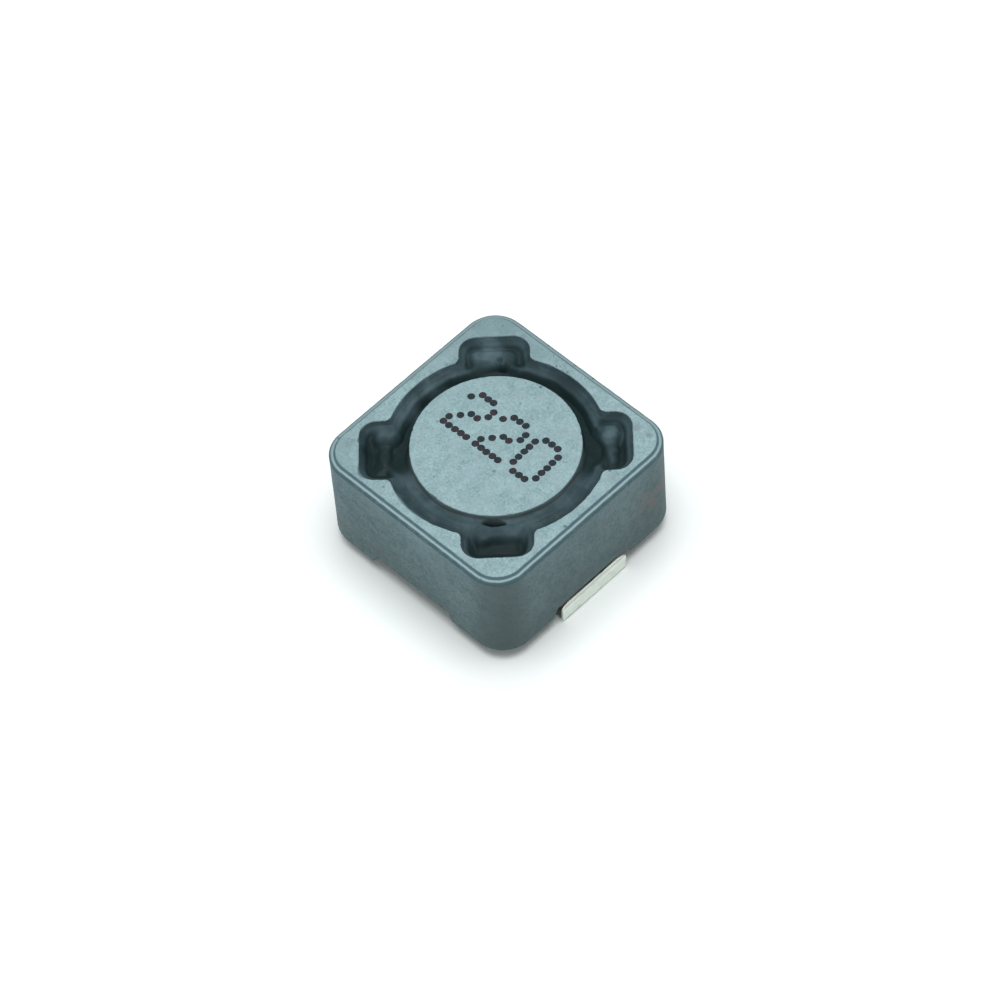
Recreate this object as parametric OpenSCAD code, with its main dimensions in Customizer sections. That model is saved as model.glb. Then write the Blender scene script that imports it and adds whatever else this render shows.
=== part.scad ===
// Shielded surface-mount power inductor: a wound ferrite drum inside a square ferrite ring,
// standing on two folded terminals.
// Origin: centre of the footprint, on the board. +Z is up, the terminals face +X and -X.

/* [Shield ring] */
// Side of the square ring
side = 12; // [11.6:0.1:12.6]
// Height of the whole part without its ink, from the board to the top face
height = 6.3; // [6:0.1:7]
// Radius of the four upright corners
corner_r = 1.65; // [1.3:0.05:2]
// Diameter of the round bore
bore_d = 10.4; // [10.2:0.1:10.6]
// Gap left under the ring's feet
foot_gap = 0.7; // [0.7:0.05:0.8]
// Width of the recess in the middle of each side, at its ceiling
recess_w = 4.7; // [4.5:0.1:5]
// Height of that ceiling above the board
recess_z = 1.2; // [1.15:0.05:1.3]

/* [Corner pockets] */
// Width of each diagonal pocket
pocket_w = 3.3; // [3:0.1:3.4]
// Distance from the ring's axis to a pocket's flat end
pocket_reach = 6.35; // [6.15:0.05:6.4]
// Radius of the two inner corners of a pocket
pocket_r = 0.8; // [0.5:0.05:0.9]
// Radius of the edges where a pocket opens into the bore
mouth_r = 0.35; // [0.2:0.05:0.45]

/* [Drum core] */
// Diameter of the top flange
drum_d = 8.1; // [8.05:0.05:8.2]
// Diameter of the bottom flange
base_flange_d = 9.1; // [8.8:0.1:9.3]
// Thickness of each flange
flange_t = 1.25; // [1.2:0.01:1.26]
// Diameter of the post that carries the winding
post_d = 3.9; // [3.6:0.1:4]

/* [Winding] */
// Diameter of the enamelled wire
wire_d = 0.48; // [0.4:0.02:0.48]
// Full turns between the two leads
turns = 19; // [10:1:19]
// Layers of wire, an even number so that both leads leave at the bottom
layers = 4; // [2:2:4]

/* [Terminals] */
// Width of a terminal
terminal_w = 4.3; // [4:0.1:4.5]
// Height of a terminal over its two folds
terminal_h = 1; // [0.95:0.01:1.05]
// Thickness of the plated strip
strip_t = 0.15; // [0.12:0.01:0.16]
// How far a terminal's face stands out of the ring's side
proud = 0.1; // [0.05:0.01:0.15]
// Length of the solder pad under the part
pad_l = 2.2; // [2:0.1:2.4]
// Length of the tongue that is bonded under the recess
tongue_l = 1.2; // [1.05:0.05:1.2]

/* [Value mark] */
// Plain three-digit number printed on the drum in dots
mark = 220; // [100:10:990]
// Diameter of one ink dot
dot_d = 0.34; // [0.26:0.02:0.34]
// Spacing of the dots along a row
dot_pitch = 0.36; // [0.35:0.01:0.37]
// Spacing of the rows
row_pitch = 0.38; // [0.36:0.01:0.4]
// Spacing of the digits
digit_pitch = 2.03; // [1.9:0.01:2.1]
// Slope of the printed line, in degrees
mark_tilt = 1.5; // [-3:0.5:3]

/* [Hidden] */
$fn = 72;

half = side / 2;
bore_r = bore_d / 2;
drum_r = drum_d / 2;
base_flange_r = base_flange_d / 2;
wire_r = wire_d / 2;

// Land and step pressed round the ring's top edge: [distance inside the side, depth below the top]
top_edge = [[0, 0.21], [0.05, 0.16], [0.25, 0.12], [0.33, 0]];
// Chamfer round the bottom edge
foot_bevel = 0.12;
// How much each end of a recess slopes outwards by the time it reaches the foot
recess_splay = 0.27;

// Drum levels
drum_z = foot_gap + 0.05;
window_z0 = drum_z + flange_t;
window_z1 = height - flange_t;
flange_bevel = 0.06;

// Lead notch in the bottom flange: it starts at the post and lets the inner lead pass under the layers
notch_depth = wire_d + 0.12;
notch_side = [wire_r + 0.08, 1];

// Winding levels and radii
first_r = post_d / 2 + wire_r + 0.06;
layer_step = wire_d + 0.02;
last_r = first_r + (layers - 1) * layer_step;
coil_z0 = window_z0 + wire_r + 0.02;
coil_z1 = window_z1 - wire_r - 0.05;

// Leads: each goes down a pocket and lies on its terminal's pad
pocket_angle = -45;
lead_bend = 0.4;
lead_r = 5.35;
notch_lead_z = coil_z0 - wire_d - 0.06;
pad_lead_z = strip_t + 0.02 + wire_r;
pad_lead_x = half - 1.05;
pad_lead_turn = -1.9;
pad_lead_end = 0.8;
entry_bend = 0.5;
layer_shift = 60;
sweep_step = 20;
wire_sides = 8;

// Folds of a terminal
fold_r = strip_t + 0.05;
tongue_w = terminal_w - 0.8;
face_x = half + proud;

// Solder fillet on a pad
solder_w = 1.6;
solder_h = 0.58;

// Sunk surface of the epoxy: [share of the way from the drum to the ring, depth below the top]
epoxy_dip = [[0, 0.3], [0.25, 0.42], [0.65, 0.26], [1, 0.16]];
// Depth of the epoxy at a pocket's walls, and the ball-shaped lump that stands in the pocket
pocket_dip = 0.42;
lump_r = 2.6;
lump_dip = 0.12;
// Lower and upper face of the plugs under the pockets
plug_z0 = foot_gap + 0.12;
plug_z1 = foot_gap + 0.6;

// Ink
ink_t = 0.012;
mark_rise = 0.57;
mark_shift = -0.06;
glyphs = [
    ["01110", "10001", "10001", "10001", "10001", "10001", "01110"],
    ["00100", "01100", "00100", "00100", "00100", "00100", "01110"],
    ["01110", "10001", "00001", "00110", "01000", "10000", "11111"],
    ["01110", "10001", "00001", "00110", "00001", "10001", "01110"],
    ["00010", "00110", "01010", "10010", "11111", "00010", "00010"],
    ["11111", "10000", "11110", "00001", "00001", "10001", "01110"],
    ["00110", "01000", "10000", "11110", "10001", "10001", "01110"],
    ["11111", "00001", "00010", "00100", "01000", "01000", "01000"],
    ["01110", "10001", "10001", "01110", "10001", "10001", "01110"],
    ["01110", "10001", "10001", "01111", "00001", "00010", "01100"]];

ferrite = [0.60, 0.69, 0.72];
ring_ferrite = [0.55, 0.64, 0.67];
copper = [0.72, 0.36, 0.18];
tin = [0.82, 0.84, 0.80];
solder_grey = [0.74, 0.75, 0.74];
epoxy = [0.20, 0.27, 0.29];
ink = [0.22, 0.22, 0.25];

// ---- vectors and the swept wire ----

function unit(v) = v / norm(v);
function polar(r, a, z) = [r * cos(a), r * sin(a), z];

// Carries a cross direction along the path with as little turning as possible
function carried(n, t) = unit(n - (n * t) * t);

function tangents(p) = [for (i = [0:len(p) - 1])
    unit(p[min(i + 1, len(p) - 1)] - p[max(i - 1, 0)])];

function sides_of(t, n0) = [for (i = 0, n = carried(n0, t[0]); i < len(t);
    i = i + 1, n = i < len(t) ? carried(n, t[i]) : n) n];

// Round tube of radius r along the points p, with a flat end at both ends
module tube(p, r, n0, k) {
    t = tangents(p);
    u = sides_of(t, n0);
    m = len(p);
    points = [for (i = [0:m - 1]) for (j = [0:k - 1])
        let (a = 360 * j / k) p[i] + r * (cos(a) * u[i] + sin(a) * cross(t[i], u[i]))];
    skin = [for (i = [0:m - 2]) for (j = [0:k - 1])
        let (a = i * k + j, b = i * k + (j + 1) % k)
        each [[a, a + k, b + k], [a, b + k, b]]];
    caps = [[for (j = [0:k - 1]) j], [for (j = [k - 1:-1:0]) (m - 1) * k + j]];
    polyhedron(points, concat(skin, caps), convexity = 10);
}

// Quarter-round bend: from a point along unit direction d0, turning into unit direction d1
function bend(corner, d0, d1, r, n) = [for (i = [0:n])
    let (a = 90 * i / n) corner - r * d0 + r * sin(a) * d0 + r * (1 - cos(a)) * d1];

// ---- ring ----

module square_from(a, b) {
    translate(a) square([b[0] - a[0], b[1] - a[1]]);
}

// Outline of a pocket in its own frame: +X runs out along the diagonal. The wedge behind it ends
// where a circle of radius mouth_r touches both the bore and the pocket's wall, so the edge is round.
module pocket_outline() {
    w = pocket_w / 2;
    c = pocket_reach - pocket_r;
    mouth_y = w + mouth_r;
    mouth_x = sqrt(pow(bore_r + mouth_r, 2) - mouth_y * mouth_y);
    upper = [[mouth_x, mouth_y], [mouth_x, w], [pocket_reach, w]];
    difference() {
        polygon(concat([[0, 0]], upper, [for (i = [2:-1:0]) [upper[i][0], -upper[i][1]]]));
        for (s = [-1, 1]) {
            translate([mouth_x, s * mouth_y]) circle(mouth_r);
            // What lies outside the round corner at the pocket's end
            translate([c, s * (w - pocket_r)]) difference() {
                translate([0, s > 0 ? 0 : -1]) square(1);
                circle(pocket_r);
            }
        }
    }
}

// Bore and the four pockets together
module cavity_outline() {
    circle(bore_r);
    for (a = [45:90:315]) rotate(a) pocket_outline();
}

// Square block with round upright corners; its edge follows edge = [inset, z] from bottom to top
module rounded_block(edge) {
    flat = half - corner_r;
    rim = concat([[0, edge[0][1]]], [for (e = edge) [corner_r - e[0], e[1]]],
                 [[0, edge[len(edge) - 1][1]]]);
    translate([0, 0, edge[0][1]]) linear_extrude(edge[len(edge) - 1][1] - edge[0][1])
        square(2 * flat, center = true);
    for (a = [0:90:270]) rotate(a) {
        translate([flat, flat, 0]) rotate_extrude(angle = 90) polygon(rim);
        translate([flat, flat, 0]) rotate([90, 0, 0]) linear_extrude(2 * flat) polygon(rim);
    }
}

// Recess across one side, wider at the foot than at its ceiling
module recess() {
    w = recess_w / 2;
    translate([half + 0.5, 0, 0]) rotate([90, 0, -90]) linear_extrude(half - 3)
        polygon([[-w - recess_splay * 1.5, foot_gap - (recess_z - foot_gap) / 2],
                 [w + recess_splay * 1.5, foot_gap - (recess_z - foot_gap) / 2],
                 [w, recess_z], [-w, recess_z]]);
}

module shield_ring() {
    edge = concat([[foot_bevel, foot_gap], [0, foot_gap + foot_bevel]],
                  [for (e = top_edge) [e[0], height - e[1]]]);
    color(ring_ferrite) difference() {
        rounded_block(edge);
        translate([0, 0, -1]) linear_extrude(height + 2) cavity_outline();
        for (a = [0:90:270]) rotate(a) recess();
    }
}

// ---- drum and winding ----

module drum_core() {
    b = flange_bevel;
    color(ferrite) difference() {
        rotate_extrude() polygon([
            [0, drum_z], [base_flange_r - b, drum_z], [base_flange_r, drum_z + b],
            [base_flange_r, window_z0 - b], [base_flange_r - b, window_z0],
            [post_d / 2, window_z0], [post_d / 2, window_z1],
            [drum_r - b, window_z1], [drum_r, window_z1 + b],
            [drum_r, height - b], [drum_r - b, height], [0, height]]);
        rotate(pocket_angle) translate([post_d / 2, -notch_side[0], window_z0 - notch_depth])
            cube([base_flange_r, notch_side[0] + notch_side[1], 2 * notch_depth]);
    }
}

// Lead from its pad up the pocket, in the frame of the start terminal
function pad_route() =
    let (foot = polar(lead_r, pocket_angle, pad_lead_z),
         turn = [pad_lead_x, pad_lead_turn, pad_lead_z],
         run = unit(foot - turn))
    concat([[pad_lead_x, pad_lead_end, pad_lead_z], [pad_lead_x, pad_lead_turn + 0.3, pad_lead_z],
            turn + 0.12 * ([0, 1, 0] + run) / 2, turn + 0.3 * run],
           bend(foot, run, [0, 0, 1], lead_bend, 5));

// Inner lead: from the pocket inwards through the notch, then curving into the first layer
function notch_route() =
    let (out = polar(1, pocket_angle, 0), across = polar(1, pocket_angle + 90, 0),
         top = lead_r * out + [0, 0, notch_lead_z],
         reach = sqrt(pow(first_r + entry_bend, 2) - pow(entry_bend, 2)),
         swing = atan2(reach, entry_bend))
    concat(bend(top, [0, 0, 1], -out, lead_bend, 5),
           [for (i = [0:5]) let (a = swing * i / 5)
               (reach - entry_bend * sin(a)) * out + entry_bend * (1 - cos(a)) * across
               + [0, 0, notch_lead_z + (coil_z0 - notch_lead_z) * (1 - cos(180 * i / 5)) / 2]]);

entry_angle = pocket_angle + asin(entry_bend / (first_r + entry_bend));
exit_angle = pocket_angle + 180 - acos(last_r / lead_r);
layer_sweep = (turns * 360 + exit_angle - entry_angle - (layers - 1) * layer_shift) / layers;

// Where the wire is after turning by s degrees from the start of the first layer
function coil_point(s) =
    let (cycle = layer_sweep + layer_shift, k = min(floor(s / cycle), layers - 1), q = s - k * cycle,
         climb = min(q / layer_sweep, 1), shift = max(q - layer_sweep, 0) / layer_shift,
         z = k % 2 == 0 ? climb : 1 - climb)
    polar(first_r + layer_step * (k + shift), entry_angle + s, coil_z0 + (coil_z1 - coil_z0) * z);

function coil_route() =
    let (total = layers * layer_sweep + (layers - 1) * layer_shift,
         first = (floor(entry_angle / sweep_step) + 1) * sweep_step - entry_angle)
    [for (s = [first:sweep_step:total - 3]) coil_point(s)];

// Outer lead: straight off the last turn and down the opposite pocket
function exit_route() =
    let (from = polar(last_r, exit_angle, coil_z0), to = polar(lead_r, pocket_angle + 180, coil_z0),
         run = unit(to - from))
    concat([from], bend(to, run, [0, 0, -1], lead_bend, 5));

function turned(p) = [for (v = p) [-v[0], -v[1], v[2]]];
function reversed(p) = [for (i = [len(p) - 1:-1:0]) p[i]];

module winding() {
    color(copper) tube(concat(pad_route(), notch_route(), coil_route(), exit_route(),
                              reversed(turned(pad_route()))), wire_r, [0, 0, 1], wire_sides);
}

// ---- terminals ----

// Side view of the folded strip, in X and Z: pad below, face outside, tongue above
module strip_outline() {
    i = fold_r - strip_t;
    square_from([face_x - pad_l, 0], [face_x - fold_r, strip_t]);
    square_from([face_x - strip_t, fold_r], [face_x, terminal_h - fold_r]);
    square_from([face_x - tongue_l, terminal_h - strip_t], [face_x - fold_r, terminal_h]);
    for (z = [fold_r, terminal_h - fold_r]) intersection() {
        translate([face_x - fold_r, z]) difference() {
            circle(fold_r);
            circle(i);
        }
        square_from([face_x - fold_r, z > terminal_h / 2 ? z : z - fold_r],
                    [face_x, z > terminal_h / 2 ? z + fold_r : z]);
    }
}

module terminal() {
    shoulder = 0.2;
    color(tin) difference() {
        translate([0, terminal_w / 2, 0]) rotate([90, 0, 0]) linear_extrude(terminal_w) strip_outline();
        // The strip narrows to the tongue above two round shoulders
        for (s = [-1, 1]) translate([half - 3, 0, terminal_h - fold_r]) rotate([90, 0, 90])
            linear_extrude(4) difference() {
                square_from([s > 0 ? tongue_w / 2 : -terminal_w, -shoulder],
                            [s > 0 ? terminal_w : -tongue_w / 2, 1]);
                translate([s * (terminal_w / 2 - shoulder - 0.05), -shoulder]) circle(shoulder);
                square_from([s > 0 ? tongue_w / 2 - 1 : -terminal_w / 2 + shoulder + 0.05, -1],
                            [s > 0 ? terminal_w / 2 - shoulder - 0.05 : -tongue_w / 2 + 1, 0]);
            }
    }
}

// Solder fillet that wets the pad and covers the end of the lead
module solder() {
    r = (pow(solder_w / 2, 2) + solder_h * solder_h) / (2 * solder_h);
    z = strip_t + solder_h - r;
    y0 = pad_lead_turn + 0.9;
    y1 = pad_lead_end - 0.4;
    color(solder_grey) difference() {
        intersection() {
            union() {
                translate([pad_lead_x, y1, z]) rotate([90, 0, 0]) cylinder(h = y1 - y0, r = r);
                for (y = [y0, y1]) translate([pad_lead_x, y, z]) sphere(r);
            }
            translate([pad_lead_x - 1, -3, strip_t]) cube([2, 6, 1]);
        }
        translate([pad_lead_x, pad_lead_end, pad_lead_z]) rotate([90, 0, 0]) cylinder(h = 4, r = wire_r);
    }
}

// Adhesive between a tongue and the recess's ceiling
module adhesive() {
    translate([face_x - tongue_l + 0.05, -tongue_w / 2 + 0.05, terminal_h])
        color(epoxy) cube([tongue_l - fold_r - 0.02, tongue_w - 0.1, recess_z - terminal_h]);
}

// ---- epoxy and ink ----

// Ring of epoxy round the top flange, with a raised lump in each pocket
module gap_epoxy() {
    color(epoxy) difference() {
        union() {
            rotate_extrude() polygon(concat([[drum_r, window_z1], [bore_r, window_z1]],
                [for (i = [len(epoxy_dip) - 1:-1:0])
                    [drum_r + epoxy_dip[i][0] * (bore_r - drum_r), height - epoxy_dip[i][1]]]));
            intersection() {
                translate([0, 0, window_z1]) linear_extrude(height - window_z1) difference() {
                    for (a = [45:90:315]) rotate(a) pocket_outline();
                    circle(bore_r - 0.3);
                }
                union() {
                    translate([0, 0, window_z1]) cylinder(h = height - pocket_dip - window_z1, r = 7);
                    for (a = [45:90:315]) rotate(a)
                        translate([bore_r + 0.15, 0, height - lump_dip - lump_r]) sphere(lump_r);
                }
            }
        }
        translate([0, 0, window_z1 - 1]) cylinder(h = 3, r = drum_r);
    }
}

// Plugs of epoxy that bond the bottom flange to the ring, one in each pocket
module base_epoxy() {
    color(epoxy) translate([0, 0, plug_z0]) linear_extrude(plug_z1 - plug_z0) difference() {
        for (a = [45:90:315]) rotate(a) pocket_outline();
        circle(base_flange_r);
        for (a = [0, 180]) rotate(pocket_angle + a) translate([lead_r, 0]) circle(wire_r);
    }
}

module digit(n) {
    for (row = [0:6]) for (col = [0:4]) if (glyphs[n][row][col] == "1")
        translate([(col - 2) * dot_pitch, (3 - row) * row_pitch, 0]) cylinder(h = ink_t, d = dot_d);
}

module value_mark() {
    digits = [floor(mark / 100), floor(mark / 10) % 10, mark % 10];
    color(ink) translate([mark_shift, mark_rise, height]) rotate(mark_tilt)
        for (i = [0:2]) translate([(i - 1) * digit_pitch, 0, 0]) digit(digits[i]);
}

// Anything given here repeats itself half a turn round
module opposite() { rotate(180) children(); }

drum_core();
shield_ring();
winding();
terminal();  // start_terminal
opposite() terminal();  // finish_terminal
solder();  // start_solder
opposite() solder();  // finish_solder
adhesive();  // start_adhesive
opposite() adhesive();  // finish_adhesive
gap_epoxy();
base_epoxy();
value_mark();
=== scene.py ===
"""Shielded surface-mount inductor: the finish of every piece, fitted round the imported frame."""
import itertools
import math

import bpy
import numpy as np
from mathutils import Matrix, Vector


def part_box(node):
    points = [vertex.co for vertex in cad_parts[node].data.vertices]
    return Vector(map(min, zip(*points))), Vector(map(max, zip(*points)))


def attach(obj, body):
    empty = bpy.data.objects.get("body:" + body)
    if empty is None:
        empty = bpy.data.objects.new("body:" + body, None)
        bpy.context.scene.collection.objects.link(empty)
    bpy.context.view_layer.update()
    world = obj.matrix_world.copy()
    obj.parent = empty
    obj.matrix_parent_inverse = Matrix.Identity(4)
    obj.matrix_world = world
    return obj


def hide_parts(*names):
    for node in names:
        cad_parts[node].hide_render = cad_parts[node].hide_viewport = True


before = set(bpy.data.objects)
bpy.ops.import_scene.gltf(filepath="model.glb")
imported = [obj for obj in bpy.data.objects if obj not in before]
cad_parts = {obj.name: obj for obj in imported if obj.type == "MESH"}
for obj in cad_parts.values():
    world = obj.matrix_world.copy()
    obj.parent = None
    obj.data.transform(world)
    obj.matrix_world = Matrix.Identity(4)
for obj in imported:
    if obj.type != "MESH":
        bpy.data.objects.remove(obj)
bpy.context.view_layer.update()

MM = 0.001

# ---- sizes in millimetres, from the frame's boxes where they give them ----


def node_box(node):
    """Lowest and highest corner of a CAD node in millimetres."""
    low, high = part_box(node)
    return np.array(low) / MM, np.array(high) / MM


ring_low, ring_high = node_box("shield_ring")
drum_low, drum_high = node_box("drum_core")
epoxy_low = node_box("gap_epoxy")[0]
plug_low, plug_high = node_box("base_epoxy")
clip_low, clip_high = node_box("start_terminal")
bond_low, bond_high = node_box("start_adhesive")
joint_low, joint_high = node_box("start_solder")

HALF = ring_high[0]
TOP = ring_high[2]
FOOT = ring_low[2]
CORNER_R = 1.65
BORE_R = 5.2
DRUM_R = 4.05
POCKET_HALF = 1.65
POCKET_REACH = 6.35
POCKET_R = 0.8
MOUTH_R = 0.35
RECESS_Z = 1.2
RECESS_HALF = 2.35
RECESS_SPLAY = 0.27
POST_R = 1.95
FLANGE_T = 1.25
BASE_FLANGE_R = drum_high[0]
WIRE_R = 0.24
STRIP_T = 0.15
FOLD_R = 0.2

# ---- numbers that vary over a surface ----


def lattice(i, j, k, seed):
    """A fixed number from 0 to 1 for each whole-number cell: its coordinates are multiplied by large
    primes, summed, and their bits mixed by shifts."""
    h = (i * 374761393 + j * 668265263 + k * 1442695041 + seed * 1274126177) & 0xFFFFFFFF
    h = ((h ^ (h >> 13)) * 1274126177) & 0xFFFFFFFF
    return (h ^ (h >> 16)) / 0xFFFFFFFF


def cloud(p, size, seed=0):
    """Smooth noise from -1 to 1 at points p: the cell corners' fixed numbers, blended along each axis
    with the curve 3t^2 - 2t^3."""
    cell = np.floor(p / size).astype(np.int64)
    t = p / size - cell
    t = t * t * (3 - 2 * t)
    total = 0
    for corner in itertools.product((0, 1), repeat=3):
        weight = np.prod(np.where(corner, t, 1 - t), axis=-1)
        i, j, k = (cell[..., a] + corner[a] for a in range(3))
        total = total + weight * lattice(i, j, k, seed)
    return 2 * total - 1


def rough(p, size, octaves=3, seed=0):
    """Sum of clouds, each with half the cell size and half the height of the one before."""
    return sum(cloud(p, size / 2 ** n, seed + n) / 2 ** n for n in range(octaves))


def step(x, low, high):
    """0 below low, 1 above high, and 3t^2 - 2t^3 between them."""
    t = np.clip((x - low) / (high - low), 0, 1)
    return t * t * (3 - 2 * t)


def mix(a, b, t):
    """a where t is 0, b where t is 1, and the straight line between them."""
    return a + (b - a) * t


def with_z(xy, z):
    """Points (x, y) raised to height z."""
    return np.concatenate([xy, np.broadcast_to(z, xy.shape[:-1])[..., None]], axis=-1)


# ---- meshes from grids ----


def grid_faces(rows, columns, close_rows=False, close_columns=False, start=0):
    """Four-cornered faces between neighbouring points of a grid numbered row by row from start."""
    r = np.arange(rows if close_rows else rows - 1)[:, None]
    c = np.arange(columns if close_columns else columns - 1)[None, :]
    r1, c1 = (r + 1) % rows, (c + 1) % columns
    corners = [r * columns + c, r * columns + c1, r1 * columns + c1, r1 * columns + c]
    return np.stack([np.broadcast_to(k, (r.size, c.size)) for k in corners], -1).reshape(-1, 4) + start


def fan(centre, ring, flip=False):
    """Triangles from one point to each pair of neighbours round a closed ring of points."""
    after = np.roll(ring, -1)
    first, second = (after, ring) if flip else (ring, after)
    return np.stack([np.full(len(ring), centre), first, second], -1)


def capped(n, m):
    """Faces of a grid of n closed rings of m points, with a fan at each end to one of the two points
    that follow the grid."""
    ring = np.arange(m)
    return [grid_faces(n, m, False, True),
            np.vstack([fan(n * m, ring, True), fan(n * m + 1, ring + (n - 1) * m)])]


def piece(name, points, faces, finish, slot, stands_for=()):
    """A smooth-shaded mesh of points in millimetres and arrays of faces, turned so that the volume that
    they enclose counts as positive, riding on the one body."""
    points = np.asarray(points, float).reshape(-1, 3)
    volume = 0
    for f in faces:
        for k in range(1, f.shape[1] - 1):
            a, b, c = points[f[:, 0]], points[f[:, k]], points[f[:, k + 1]]
            volume += np.einsum("ij,ij->", a, np.cross(b, c))
    if volume < 0:
        faces = [f[:, ::-1] for f in faces]
    sizes = np.concatenate([np.full(len(f), f.shape[1]) for f in faces])
    corners = np.concatenate([f.reshape(-1) for f in faces])
    mesh = bpy.data.meshes.new(name)
    mesh.vertices.add(len(points))
    mesh.vertices.foreach_set("co", (points * MM).reshape(-1))
    mesh.loops.add(len(corners))
    mesh.loops.foreach_set("vertex_index", corners)
    mesh.polygons.add(len(sizes))
    mesh.polygons.foreach_set("loop_start", np.concatenate([[0], np.cumsum(sizes)[:-1]]))
    mesh.polygons.foreach_set("use_smooth", np.ones(len(sizes), bool))
    mesh.update(calc_edges=True)
    mesh.validate()
    mesh.materials.append(finish)
    made = bpy.data.objects.new(name, mesh)
    bpy.context.scene.collection.objects.link(made)
    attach(made, "root")
    if stands_for:
        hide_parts(*stands_for)
    return made


# ---- shader maths ----


class Value:
    """A number that a shader socket carries. Arithmetic on it adds Math nodes."""

    def __init__(self, finish, socket):
        self.finish, self.socket = finish, socket

    def _math(self, operation, *numbers):
        """One Math node on the numbers."""
        return self.finish.add("ShaderNodeMath", {"operation": operation}, dict(enumerate(numbers)))

    def __add__(self, other):
        return self._math("ADD", self, other)

    def __sub__(self, other):
        return self._math("SUBTRACT", self, other)

    def __rsub__(self, other):
        return self._math("SUBTRACT", other, self)

    def __mul__(self, other):
        return self._math("MULTIPLY", self, other)

    def __truediv__(self, other):
        return self._math("DIVIDE", self, other)

    def __pow__(self, other):
        return self._math("POWER", self, other)

    def size(self):
        """The number without its sign."""
        return self._math("ABSOLUTE", self)

    def at_least(self, other):
        """The larger of the two."""
        return self._math("MAXIMUM", self, other)

    def at_most(self, other):
        """The smaller of the two."""
        return self._math("MINIMUM", self, other)

    def between(self, low, high):
        """0 below low and 1 above high, with a smooth rise; low above high gives the fall instead."""
        ends = {"From Min": low, "From Max": high} if low < high else {
            "From Min": high, "From Max": low, "To Min": 1.0, "To Max": 0.0}
        return self.finish.add("ShaderNodeMapRange", {"interpolation_type": "SMOOTHSTEP"},
                               {"Value": self, **ends})

    __radd__, __rmul__ = __add__, __mul__


class Finish:
    """One procedural material, worked out on the piece's own coordinates in millimetres."""

    def __init__(self, name):
        self.material = bpy.data.materials.new(name)
        self.material.use_nodes = True
        self.tree = self.material.node_tree
        self.shader = self.tree.nodes["Principled BSDF"]
        place = self.add("ShaderNodeTexCoord", output="Object")
        self.place = self.add("ShaderNodeVectorMath", {"operation": "SCALE"},
                              {"Vector": place, "Scale": 1 / MM})
        split = self.add("ShaderNodeSeparateXYZ", None, {0: self.place}, whole=True)
        self.x, self.y, self.z = (Value(self, split.outputs[i]) for i in range(3))

    def add(self, kind, settings=None, values=None, output=0, whole=False):
        """Adds a node of a kind, makes its settings, sets or links its sockets, and gives one output."""
        node = self.tree.nodes.new(kind)
        for name, setting in (settings or {}).items():
            setattr(node, name, setting)
        for key, value in (values or {}).items():
            self.feed(node.inputs[key], value)
        return node if whole else Value(self, node.outputs[output])

    def feed(self, socket, value):
        """Links a value to a socket, or sets the socket where it is a plain number or colour."""
        if isinstance(value, Value):
            self.tree.links.new(value.socket, socket)
        elif isinstance(value, (tuple, list)) and len(value) == 3 and socket.type == "RGBA":
            socket.default_value = (*value, 1)
        else:
            socket.default_value = value

    def noise(self, size, detail=2.0, roughness=0.5, shift=(0, 0, 0), stretch=(1, 1, 1)):
        """Blender's noise with features of a size in millimetres, moved and stretched along the axes."""
        where = self.add("ShaderNodeMapping", None,
                         {"Vector": self.place, "Location": shift, "Scale": stretch})
        return self.add("ShaderNodeTexNoise", None,
                        {"Vector": where, "Scale": 1 / size, "Detail": detail, "Roughness": roughness})

    def cells(self, size, shift=(0, 0, 0)):
        """Distance to the nearest scattered point, with the points a size apart in millimetres."""
        where = self.add("ShaderNodeMapping", None, {"Vector": self.place, "Location": shift})
        return self.add("ShaderNodeTexVoronoi", {"feature": "F1"}, {"Vector": where, "Scale": 1 / size})

    def away(self, x, y):
        """Distance in plan from a point."""
        return ((self.x - x) * (self.x - x) + (self.y - y) * (self.y - y)) ** 0.5

    def blend(self, a, b, factor):
        """Colour a where factor is 0 and b where it is 1."""
        return self.add("ShaderNodeMix", {"data_type": "RGBA", "blend_type": "MIX", "clamp_factor": True},
                        {0: factor, 6: a, 7: b}, output=2)

    def relief(self, height, depth, under=None):
        """Bump of a height from 0 to 1 and a depth in millimetres, on top of the bump before it."""
        values = {"Height": height, "Distance": depth * MM, "Strength": 1.0}
        if under is not None:
            values["Normal"] = under
        return self.add("ShaderNodeBump", None, values)

    def finish(self, **sockets):
        """Sets or links the surface's own sockets, named with underscores for spaces."""
        for name, value in sockets.items():
            self.feed(self.shader.inputs[name.replace("_", " ")], value)
        return self.material


def side_inset(f):
    """Distance inside the ring's sides, as for a square with round corners."""
    flat = HALF - CORNER_R
    a, b = f.x.size() - flat, f.y.size() - flat
    outer_part = (a.at_least(0) ** 2 + b.at_least(0) ** 2) ** 0.5
    return CORNER_R - (outer_part + a.at_least(b).at_most(0))


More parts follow.
